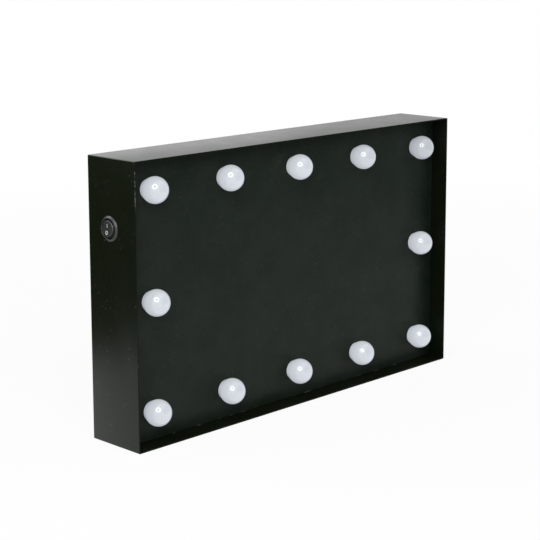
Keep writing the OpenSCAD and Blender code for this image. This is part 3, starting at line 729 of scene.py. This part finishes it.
def globe_profile():
    """Outer and inner outline of a globe with a tapered neck and an open spigot."""
    center = (0, GLOBE_STAND)
    lean = touch_angle((NECK_R, 0), center, GLOBE_R)
    bore = SPIGOT_R - GLOBE_WALL
    inside = arc(center, GLOBE_R - GLOBE_WALL, 90, lean, steps=16)[1:]
    touch_r, touch_h = inside[-1]
    inner_foot = touch_r + (touch_h - GLOBE_WALL) * math.tan(math.radians(lean))
    profile = arc((SPIGOT_R - EDGE_R, SPIGOT_END + EDGE_R), EDGE_R, -90, 0, steps=3)
    profile += [(SPIGOT_R, 0), (NECK_R - EDGE_R, 0)]
    profile += arc((NECK_R - EDGE_R, EDGE_R), EDGE_R, -60, lean, steps=2)
    profile += arc(center, GLOBE_R, lean, 90, steps=32)[:-1]
    profile += [(0, GLOBE_STAND + GLOBE_R), (0, GLOBE_STAND + GLOBE_R - GLOBE_WALL)]
    profile += inside + [(inner_foot, GLOBE_WALL), (bore, GLOBE_WALL), (bore, SPIGOT_END)]
    return profile


def make_globes():
    """Hollow globes, each standing on the blackboard with its spigot through a hole."""
    for name, (x, z) in bulb_points.items():
        place = Matrix.Translation((x, PANEL_Y, z)) @ OUT_OF_FRONT
        globe = solid(f"globe_{name}", turned(globe_profile(), closed=True), place)
        stand_for(globe, f"bulb_globe_{name}", crease=40)


def shell_profile():
    """Outline of the switch's bezel and barrel, from the barrel's floor round to its opening."""
    rim = (BEZEL_R, BEZEL_EDGE)
    lip = (OPENING_R + BEZEL_LIP_R, BEZEL_H - BEZEL_LIP_R)
    slope = touch_angle(rim, lip, BEZEL_LIP_R)
    profile = [(0, -BARREL_L), (BARREL_R - EDGE_R, -BARREL_L), (BARREL_R, -BARREL_L + EDGE_R)]
    profile += [(BARREL_R, 0), (BEZEL_R, 0)]
    profile += arc((BEZEL_R - EDGE_R, BEZEL_EDGE - EDGE_R), EDGE_R, 0, slope, steps=4)
    profile += arc(lip, BEZEL_LIP_R, slope, 180, steps=10)
    profile += [(OPENING_R, BARREL_FLOOR - BARREL_L), (0, BARREL_FLOOR - BARREL_L)]
    return profile


def make_switch_shell():
    """Bezel and barrel of the switch, with snap wings, stub holes, terminal slots and a stop rib."""
    pivot = pivots["rocker_tilt"]
    place = Matrix.Translation((case_low.x, pivot.y, pivot.z)) @ OUT_OF_LEFT
    shell = solid("switch_shell", turned(shell_profile(), steps=BEZEL_STEPS), place)
    floor = BARREL_FLOOR - BARREL_L
    foot = -WING_DROP - WING_L
    root = (BARREL_R + OPENING_R) / 2
    outline = [(root, -WING_DROP), (BARREL_R + WING_RISE, -WING_DROP)]
    outline += [(BARREL_R + WING_FOOT, foot), (root, foot)]
    for way in (-1, 1):
        ends = [[Vector((way * x, side * WING_W / 2, z)) for x, z in outline] for side in (-1, 1)]
        combine(shell, solid("wing", loft(ends), place), "UNION")
    near = (CONTACT_REACH - STOP_T / 2, -STOP_W / 2, floor - CUT)
    far = (CONTACT_REACH + STOP_T / 2, STOP_W / 2, STOP_TOP)
    combine(shell, solid("rib", brick(near, far), place), "UNION")
    depth = pivot.x - case_low.x
    holes = rod((0, -2 * BARREL_R, -depth), (0, 2 * BARREL_R, -depth), STUB_HOLE_R, PIN_STEPS)
    combine(shell, solid("holes", holes, place))
    for x in (0, -CONTACT_REACH):
        near = (x - TERMINAL_T / 2, -TERMINAL_W / 2, -BARREL_L - CUT)
        far = (x + TERMINAL_T / 2, TERMINAL_W / 2, floor + CUT)
        combine(shell, solid("slot", brick(near, far), place))
    stand_for(shell, "switch_housing", crease=35)


def dish_height(x):
    """Height of the rocker's dished face at a distance from its middle."""
    return ROCKER_RISE + DISH_R - math.sqrt(DISH_R ** 2 - x ** 2)


def rocker_profile(angle):
    """Outline of the rocker in the half plane at an angle, from its face round to its bore."""
    lean = math.cos(angle)
    core = CAP_R - RIM_ROUND
    slope = math.atan(lean * core * lean / math.sqrt(DISH_R ** 2 - (core * lean) ** 2))
    rim_z = dish_height(core * lean) - RIM_ROUND / math.cos(slope)
    rim = arc((core, rim_z), RIM_ROUND, 90 + math.degrees(slope), 0, steps=8)
    edge = rim[0][0]
    radii = [edge * i / FACE_STEPS for i in range(FACE_STEPS)]
    face = [(r, dish_height(r * lean)) for r in radii]
    above = math.degrees(math.asin(COLLAR / ROCKER_R))
    below = -math.degrees(math.asin(SKIRT / ROCKER_R))
    skirt = [(CAP_R, COLLAR)] + arc((0, 0), ROCKER_R, above, below)
    hollow = CAP_R - SHELL
    ceiling = ROCKER_RISE - SHELL
    inside = [(hollow, -SKIRT), (hollow, ceiling), (POST_R, ceiling), (POST_R, -POST_L)]
    inside += [(BORE_R, -POST_L), (BORE_R, BORE_TOP), (0, BORE_TOP)]
    return face + rim + skirt + inside


def rocker_place():
    """Local frame of the rocker as it rests, with its upper side pressed in."""
    tilt = Matrix.Rotation(math.radians(ROCKER_REST), 4, "Y")
    return Matrix.Translation(pivots["rocker_tilt"]) @ OUT_OF_LEFT @ tilt


def make_rocker():
    """Round rocker with a dished face, its stubs and its printed marks."""
    rocker = solid("rocker_cap", turned_by(rocker_profile), rocker_place())
    for way in (-1, 1):
        stub = rod((0, way * (ROCKER_R - SHELL / 2), 0), (0, way * STUB_END, 0), STUB_R, PIN_STEPS)
        combine(rocker, solid("stub", stub, rocker_place()), "UNION")
    stand_for(rocker, "switch_rocker", crease=40)
    make_mark("mark_bar", bar_rows(), closed=False)
    make_mark("mark_ring", ring_rows(), closed=True)


def bar_rows():
    """Rows of points for a straight bar along the rocker, from end to end."""
    rows = []
    for i in range(BAR_STEPS + 1):
        x = BAR_AT + BAR_L * (i / BAR_STEPS - 0.5)
        rows.append([(x, -BAR_W / 2), (x, BAR_W / 2)])
    return rows


def ring_rows():
    """Rows of points for a ring."""
    rows = []
    for i in range(RING_STEPS):
        a = 2 * math.pi * i / RING_STEPS
        rows.append([
            (RING_AT + r * math.cos(a), r * math.sin(a)) for r in (RING_R - RING_W, RING_R)
        ])
    return rows


def make_mark(name, rows, closed):
    """Thin printed mark that follows the rocker's dished face."""
    rings = []
    for row in rows:
        under = [Vector((x, y, dish_height(x))) for x, y in row]
        over = [point + Vector((0, 0, MARK_LIFT)) for point in reversed(under)]
        rings.append(under + over)
    mark = solid(name, loft(rings, closed), rocker_place())
    smooth(mark)
    mark.data.materials.append(print_material)
    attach(mark, "rocker")


def make_cover():
    """Rear plate with rounded edges, the battery cut-out and screw holes."""
    profile = arc((COVER_INSET + EDGE_R, COVER_Y + EDGE_R), EDGE_R, 270, 180, steps=3)
    profile += arc((COVER_INSET + EDGE_R, BACK_Y - EDGE_R), EDGE_R, 180, 90, steps=3)
    rings = outline_rings(profile, COVER_CORNER_R + COVER_INSET, COVER_CORNER_R / 2)
    cover = solid("rear_plate", loft(rings))
    top = pivots["door_swing"].z + KNUCKLE_R + HINGE_ROOM
    half = DOOR_HALF + DOOR_GAP
    tool = brick((-half, COVER_Y - CUT, door_low.z - DOOR_GAP), (half, BACK_Y + CUT, top))
    hole = rod((0, 0, -PLATE_CUT), (0, 0, CUT), SCREW_HOLE_R, PIN_STEPS)
    merge_into(tool, gathered(hole, back_places(cover_screw_points + box_screw_points)))
    combine(cover, solid("cover_tool", tool))
    stand_for(cover, "back_cover")


def cross_tool(top):
    """Cutter for a cross recess, narrower at its floor."""
    near = (-CROSS_L / 2, -CROSS_W / 2, top - CROSS_DEPTH)
    far = (CROSS_L / 2, CROSS_W / 2, top + CUT)
    whole = bmesh.new()
    for angle in (0, 90):
        bar = brick(near, far)
        for vert in bar.verts:
            if vert.co.z < top:
                vert.co.x *= CROSS_TAPER
        turn = Matrix.Rotation(math.radians(angle), 4, "Z")
        bmesh.ops.transform(bar, matrix=turn, verts=bar.verts)
        merge_into(whole, bar)
    return whole


def screw_mesh(name, profile, top):
    """Turned screw with a cross recess, as a mesh of its own."""
    screw = solid(name, turned(profile, steps=SCREW_STEPS))
    combine(screw, solid("cross", cross_tool(top)))
    bm = bmesh.new()
    bm.from_mesh(screw.data)
    bpy.data.objects.remove(screw)
    return bm


def make_screws(name, node, points):
    """Pan-head screws at points on the back."""
    profile = [(0, -SHANK_L), (SHANK_R * TIP_SHARE, -SHANK_L), (SHANK_R, -SHANK_L + SHANK_R)]
    profile += [(SHANK_R, 0), (HEAD_R - EDGE_R / 2, 0), (HEAD_R, EDGE_R / 2)]
    for angle in range(90, -1, -DOME_STEP):
        a = math.radians(angle)
        height = HEAD_H * (HEAD_WALL + (1 - HEAD_WALL) * math.cos(a))
        profile.append((HEAD_R * math.sin(a), height))
    part = screw_mesh("pan_screw", profile, HEAD_H)
    screws = solid(name, gathered(part, back_places(points)))
    stand_for(screws, node)


def door_section(inset):
    """Outline of the door across its hinge, drawn in by inset, as points of y and z."""
    pivot = pivots["door_swing"]
    outer = BACK_Y - inset
    inner = BACK_Y - DOOR_T + inset
    bottom = door_low.z + inset
    radius = KNUCKLE_R - inset
    meet = math.degrees(math.acos((inner - pivot.y) / radius))
    section = arc((outer - EDGE_R, bottom + EDGE_R), EDGE_R, -90, 0, steps=4)
    section += arc((pivot.y, pivot.z), radius, 0, 360 - meet, steps=24)
    section += arc((inner + EDGE_R, bottom + EDGE_R), EDGE_R, 180, 270, steps=4)
    return section


def make_door():
    """Battery door with its knuckle, pins, grip ribs and countersunk hole, and its screw."""
    steps = arc((0, 0), EDGE_R, 0, 90, steps=3)
    left = [(-DOOR_HALF + EDGE_R - x, EDGE_R - y) for x, y in steps]
    stations = left + [(-x, inset) for x, inset in reversed(left)]
    rings = [[Vector((x, y, z)) for y, z in door_section(inset)] for x, inset in stations]
    door = solid("door_leaf", loft(rings))
    pivot = pivots["door_swing"]
    for way in (-1, 1):
        end = door_high.x if way > 0 else door_low.x
        pin = rod((way * (DOOR_HALF - CUT), pivot.y, pivot.z), (end, pivot.y, pivot.z), PIN_R, PIN_STEPS)
        combine(door, solid("pin", pin), "UNION")
    rib_y = BACK_Y - RIB_SINK
    for way in (-1, 1):
        for k in range(RIBS):
            z = door_low.z + RIB_STEP * (k + 1)
            rib = rod((way * RIB_START, rib_y, z), (way * RIB_END, rib_y, z), RIB_R, RIB_STEPS)
            combine(door, solid("rib", rib), "UNION")
    place = back_places([(0, door_low.z + DOOR_SCREW_EDGE)])[0]
    shank = DOOR_SHANK_R + SEAT_GAP
    head = DOOR_HEAD_R + SEAT_GAP
    seat = [(0, -DOOR_T - CUT), (shank, -DOOR_T - CUT), (shank, -DOOR_HEAD_H)]
    seat += [(head, 0), (head, CUT), (0, CUT)]
    combine(door, solid("seat", turned(seat), place))
    stand_for(door, "battery_door")
    profile = [(0, -DOOR_SHANK_L), (DOOR_SHANK_R * TIP_SHARE, -DOOR_SHANK_L)]
    profile += [(DOOR_SHANK_R, -DOOR_SHANK_L + DOOR_SHANK_R), (DOOR_SHANK_R, -DOOR_HEAD_H)]
    profile += [(DOOR_HEAD_R, -EDGE_R / 2), (DOOR_HEAD_R, 0), (0, 0)]
    screw = solid("door_lock_screw", screw_mesh("lock_screw", profile, 0), place)
    stand_for(screw, "door_screw")


def cell_way(k):
    """Direction along X in which a cell's button points."""
    return -1 if k % 2 else 1


def make_cells():
    """Cells with a crimped sleeve, a button at one end and a flat cap at the other."""
    rim = CELL_R - CELL_CRIMP
    side = CELL_R - CELL_EDGE_R
    for k in CELLS:
        low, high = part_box(f"battery_cell_{k}")
        middle = (low + high) / 2
        length = high.x - low.x
        way = cell_way(k)
        shoulder = length - CELL_BUTTON_H
        plate = shoulder - CELL_DENT
        button = (CELL_BUTTON_R - CELL_BUTTON_EDGE, length - CELL_BUTTON_EDGE)
        profile = [(0, CELL_DENT), (rim, CELL_DENT), (rim + CELL_DENT, 0)]
        profile += arc((side, CELL_EDGE_R), CELL_EDGE_R, -90, 0, steps=4)
        profile += arc((side, shoulder - CELL_EDGE_R), CELL_EDGE_R, 0, 90, steps=4)
        profile += [(rim, shoulder), (rim - CELL_DENT, plate)]
        profile += [(CELL_BUTTON_R + CELL_BUTTON_FOOT, plate)]
        profile += arc(button, CELL_BUTTON_EDGE, 0, 90, steps=3)
        profile += [(0, length)]
        turn = Matrix.Rotation(math.radians(way * 90), 4, "Y")
        place = Matrix.Translation((middle.x - way * length / 2, middle.y, middle.z)) @ turn
        cell = solid(f"cell_{k}", turned(profile), place)
        stand_for(cell, f"battery_cell_{k}")


def helix(r0, r1, start, end, turns, per_turn=32):
    """Points of a coil along local Z."""
    count = turns * per_turn
    points = []
    for i in range(count + 1):
        t = i / count
        radius = r0 + (r1 - r0) * t
        a = 2 * math.pi * turns * t
        points.append(Vector((radius * math.cos(a), radius * math.sin(a), start + (end - start) * t)))
    return points


def make_springs():
    """Tapered springs at the cells' flat ends and the small coil behind the switch's plunger."""
    low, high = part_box("battery_springs")
    end_gap = SPRING_WIRE_R + SPRING_SEAT
    whole = bmesh.new()
    for k in CELLS:
        cell_low, cell_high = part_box(f"battery_cell_{k}")
        middle = (cell_low + cell_high) / 2
        way = cell_way(k)
        foot = low.x - SPRING_SEAT if way > 0 else high.x + SPRING_SEAT
        coil = helix(SPRING_FOOT_R, SPRING_TIP_R, end_gap, SPRING_L - end_gap, SPRING_TURNS)
        wire = swept(coil, SPRING_WIRE_R)
        turn = Matrix.Rotation(math.radians(way * 90), 4, "Y")
        place = Matrix.Translation((foot, middle.y, middle.z)) @ turn
        bmesh.ops.transform(wire, matrix=place, verts=wire.verts)
        merge_into(whole, wire)
    stand_for(solid("cell_springs", whole), "battery_springs", crease=50)
    coil = helix(COIL_R, COIL_R, COIL_START, COIL_END, COIL_TURNS)
    spring = solid("plunger_coil", swept(coil, COIL_WIRE_R), rocker_place())
    stand_for(spring, "plunger_spring", crease=50)


make_case()
make_board()
make_globes()
make_switch_shell()
make_cover()
make_door()
make_cells()
make_springs()
make_rocker()
make_screws("plate_screws", "back_cover_screws", cover_screw_points)
make_screws("box_screws", "battery_box_screws", box_screw_points)
for name, obj in frame["nodes"].items():
    obj.data.materials.clear()
    obj.data.materials.append(materials[slot_of_node[name]])


# Stage, light and camera, in metres, watts and degrees
AIM = Vector((0, 0, CASE_H / 2))
# Lights: place, radius and power; before the main one hang a dark disc and a bright ring
KEY_AT = Vector((-0.90, -0.79, 1.03))
KEY_R = 0.54
KEY_CENTER_R = 0.24
KEY_POWER = 15
KEY_GAP = 0.03
KEY_RING = (8, 8, 8, 1)
FILL_AT = Vector((1.0, -1.1, 0.6))
FILL_R = 0.4
FILL_POWER = 8
TOP_AT = Vector((-0.75, 1.05, 1.25))
TOP_R = 0.45
TOP_POWER = 6
REAR_AT = Vector((0.78, 1.18, 0.62))
REAR_R = 0.35
REAR_POWER = 0.5
AMBIENT = 0.3
# Floor: reach, depth and grey, and how its own white rises from near the object to far from it
FLOOR_HALF = 6
FLOOR_T = 0.05
FLOOR_GREY = (0.95, 0.95, 0.95, 1)
FLOOR_NEAR = 0.35
FLOOR_FAR = 1.6
FLOOR_WHITE = 0.92
FLOOR_DROP = 0.2 * MM
# Cards seen in reflections only; the right one fades to white towards its far end and its top
CARD_T = 0.01
LEFT_CARD_AT = (-0.37, 0.20, 0)
LEFT_CARD_TURN = math.atan2(0.82, 1.0)
LEFT_CARD_HALF = 0.27
LEFT_CARD_H = 0.30
LEFT_CARD_GREY = (0.055, 0.065, 0.035, 1)
RIGHT_CARD_AT = (0.62, -0.72, 0)
RIGHT_CARD_TURN = math.radians(45)
RIGHT_CARD_ENDS = (-1.2, 1.3)
RIGHT_CARD_H = 1.6
RIGHT_CARD_GREY = (0.055, 0.058, 0.055, 1)
CARD_FADE_X = (0.45, 1.5)
CARD_FADE_Z = (0.6, 1.6)
CARD_WHITE = 18
# Camera, fitted to the photograph
CAMERA_AT = Vector((-1.0282, -1.0015, 0.4439))
CAMERA_YAW = -45.28
CAMERA_PITCH = 9.532
CAMERA_ROLL = -0.169
LENS = 102.1
SHIFT_Y = -0.15
CLIP_START = 0.01


def seen_rays(nodes, links):
    """1 on camera, glossy and transmission rays, else 0."""
    path = nodes.new("ShaderNodeLightPath")
    total = path.outputs["Is Camera Ray"]
    for name in ("Is Glossy Ray", "Is Transmission Ray"):
        total = math_node(nodes, links, "MAXIMUM", total, path.outputs[name])
    return total


def make_world():
    """White where it is seen or mirrored, and a soft grey light elsewhere."""
    world = bpy.data.worlds.new("studio")
    bpy.context.scene.world = world
    world.use_nodes = True
    nodes = world.node_tree.nodes
    links = world.node_tree.links
    background = nodes["Background"]
    background.inputs["Color"].default_value = (1, 1, 1, 1)
    strength = smooth_step(nodes, links, seen_rays(nodes, links), 0, 1, AMBIENT, 1)
    links.new(strength, background.inputs["Strength"])


def make_floor():
    """Pale floor that keeps a soft shadow near the object and fades to white away from it."""
    material = bpy.data.materials.new("pale_floor")
    material.use_nodes = True
    nodes = material.node_tree.nodes
    links = material.node_tree.links
    nodes.clear()
    diffuse = nodes.new("ShaderNodeBsdfDiffuse")
    diffuse.inputs["Color"].default_value = FLOOR_GREY
    white = nodes.new("ShaderNodeEmission")
    mix = nodes.new("ShaderNodeMixShader")
    place = nodes.new("ShaderNodeTexCoord")
    away = nodes.new("ShaderNodeVectorMath")
    away.operation = "LENGTH"
    links.new(place.outputs["Object"], away.inputs[0])
    fade = smooth_step(nodes, links, away.outputs["Value"], FLOOR_NEAR, FLOOR_FAR, FLOOR_WHITE, 1)
    share = math_node(nodes, links, "MULTIPLY", seen_rays(nodes, links), fade)
    links.new(share, mix.inputs[0])
    links.new(diffuse.outputs[0], mix.inputs[1])
    links.new(white.outputs[0], mix.inputs[2])
    links.new(mix.outputs[0], nodes.new("ShaderNodeOutputMaterial").inputs[0])
    near = (-FLOOR_HALF, -FLOOR_HALF, -FLOOR_T)
    far = (FLOOR_HALF, FLOOR_HALF, -FLOOR_DROP)
    floor = solid("floor", brick(near, far))
    floor.data.materials.append(material)


def aim(place, target):
    """Matrix at a place whose -Z looks at the target."""
    turn = (target - place).to_track_quat("-Z", "Y").to_matrix().to_4x4()
    return Matrix.Translation(place) @ turn


def area_light(name, place, radius, power, mirrored=True):
    """Round soft light that looks at the object, seen in reflections or not."""
    light = bpy.data.lights.new(name, "AREA")
    light.energy = power
    light.shape = "DISK"
    light.size = 2 * radius
    obj = bpy.data.objects.new(name, light)
    obj.matrix_world = aim(place, AIM)
    obj.visible_camera = False
    obj.visible_glossy = mirrored
    bpy.context.scene.collection.objects.link(obj)


def card_fade(nodes, links):
    """Strength that rises from 1 to white towards the card's far end and its top."""
    axes = nodes.new("ShaderNodeSeparateXYZ")
    links.new(nodes.new("ShaderNodeTexCoord").outputs["Object"], axes.inputs[0])
    across = smooth_step(nodes, links, axes.outputs["X"], *CARD_FADE_X, 1, CARD_WHITE)
    upward = smooth_step(nodes, links, axes.outputs["Z"], *CARD_FADE_Z, 1, CARD_WHITE)
    return math_node(nodes, links, "MAXIMUM", across, upward)


def mirror_card(name, bm, place, tone, casts=False, fades=False):
    """Card that shows only in reflections."""
    card = solid(name, bm, place)
    material = bpy.data.materials.new(name)
    material.use_nodes = True
    nodes = material.node_tree.nodes
    links = material.node_tree.links
    glow = nodes.new("ShaderNodeEmission")
    glow.inputs["Color"].default_value = tone
    if fades:
        links.new(card_fade(nodes, links), glow.inputs["Strength"])
    links.new(glow.outputs[0], nodes["Material Output"].inputs[0])
    card.data.materials.append(material)
    card.visible_camera = False
    card.visible_diffuse = False
    card.visible_shadow = casts


def make_lights():
    """Main light mirrored as a ring, a fill, one over the back, a weak one behind, and cards."""
    area_light("key", KEY_AT, KEY_R, KEY_POWER)
    area_light("fill", FILL_AT, FILL_R, FILL_POWER, mirrored=False)
    area_light("top", TOP_AT, TOP_R, TOP_POWER)
    area_light("rear", REAR_AT, REAR_R, REAR_POWER)
    place = aim(KEY_AT, AIM)
    disc = rod((0, 0, -KEY_GAP - CARD_T), (0, 0, -KEY_GAP), KEY_CENTER_R)
    mirror_card("key_middle", disc, place, LEFT_CARD_GREY, casts=True)
    front = CARD_T - KEY_GAP
    ring = [(KEY_CENTER_R, -KEY_GAP), (KEY_R, -KEY_GAP), (KEY_R, front), (KEY_CENTER_R, front)]
    mirror_card("key_ring", turned(ring, closed=True), place, KEY_RING)
    card = brick((-LEFT_CARD_HALF, 0, 0), (LEFT_CARD_HALF, CARD_T, LEFT_CARD_H))
    place = Matrix.Translation(LEFT_CARD_AT) @ Matrix.Rotation(LEFT_CARD_TURN, 4, "Z")
    mirror_card("left_card", card, place, LEFT_CARD_GREY)
    start, end = RIGHT_CARD_ENDS
    card = brick((start, 0, 0), (end, CARD_T, RIGHT_CARD_H))
    place = Matrix.Translation(RIGHT_CARD_AT) @ Matrix.Rotation(RIGHT_CARD_TURN, 4, "Z")
    mirror_card("right_card", card, place, RIGHT_CARD_GREY, fades=True)


def make_camera():
    """Camera of the photograph, from its place, yaw, pitch and roll."""
    yaw = math.radians(CAMERA_YAW)
    pitch = math.radians(CAMERA_PITCH)
    back = Vector((math.sin(yaw) * math.cos(pitch), -math.cos(yaw) * math.cos(pitch), math.sin(pitch)))
    right = Vector((0, 0, 1)).cross(back).normalized()
    turn = Matrix((right, back.cross(right), back)).transposed().to_4x4()
    camera = bpy.data.cameras.new("camera")
    camera.lens = LENS
    camera.shift_y = SHIFT_Y
    camera.clip_start = CLIP_START
    obj = bpy.data.objects.new("camera", camera)
    roll = Matrix.Rotation(math.radians(CAMERA_ROLL), 4, "Z")
    obj.matrix_world = Matrix.Translation(CAMERA_AT) @ turn @ roll
    bpy.context.scene.collection.objects.link(obj)
    bpy.context.scene.camera = obj


make_world()
make_floor()
make_lights()
make_camera()
bpy.context.scene.view_settings.view_transform = "Standard"
